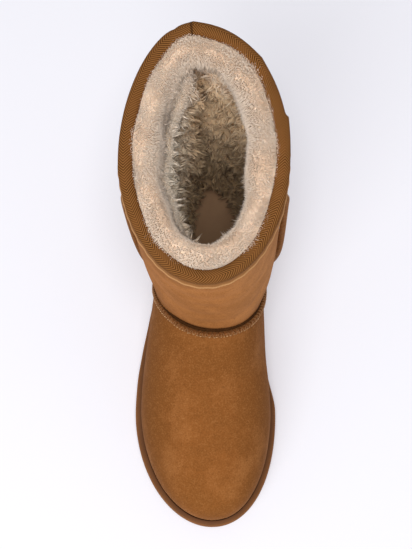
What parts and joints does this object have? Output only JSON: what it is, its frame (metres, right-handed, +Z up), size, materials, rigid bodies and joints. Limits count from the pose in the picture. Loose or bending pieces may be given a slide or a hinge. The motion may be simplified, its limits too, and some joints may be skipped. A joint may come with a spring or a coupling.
{
  "type": "sheepskin boot",
  "caption": "Pull-on suede ankle boot for the right foot with a fleece-lined shaft, bound collar, raised throat and side seams, smooth insole and flat light sole.",
  "frame": {"origin": "on the floor, under the centre of the boot's bounding box", "axes": "+Z up, the toe towards -Y and the heel towards +Y, the big-toe (medial) side towards +X"},
  "size_m": [0.1024, 0.2816, 0.241],
  "materials": {
    "outsole": "matt moulded foam",
    "insole": "smooth, matt",
    "suede": "napped suede",
    "suede_edge": "napped suede, cut edge",
    "fleece": "deep wool pile",
    "binding_tape": "herringbone twill"
  },
  "bodies": {
    "root": {"outsole": "outsole", "insole": "insole", "upper": "suede", "fleece_lining": "fleece", "collar_binding": "binding_tape", "throat_seam": "suede_edge", "lateral_seam": "suede_edge", "medial_seam": "suede_edge"}
  },
  "joints": []
}
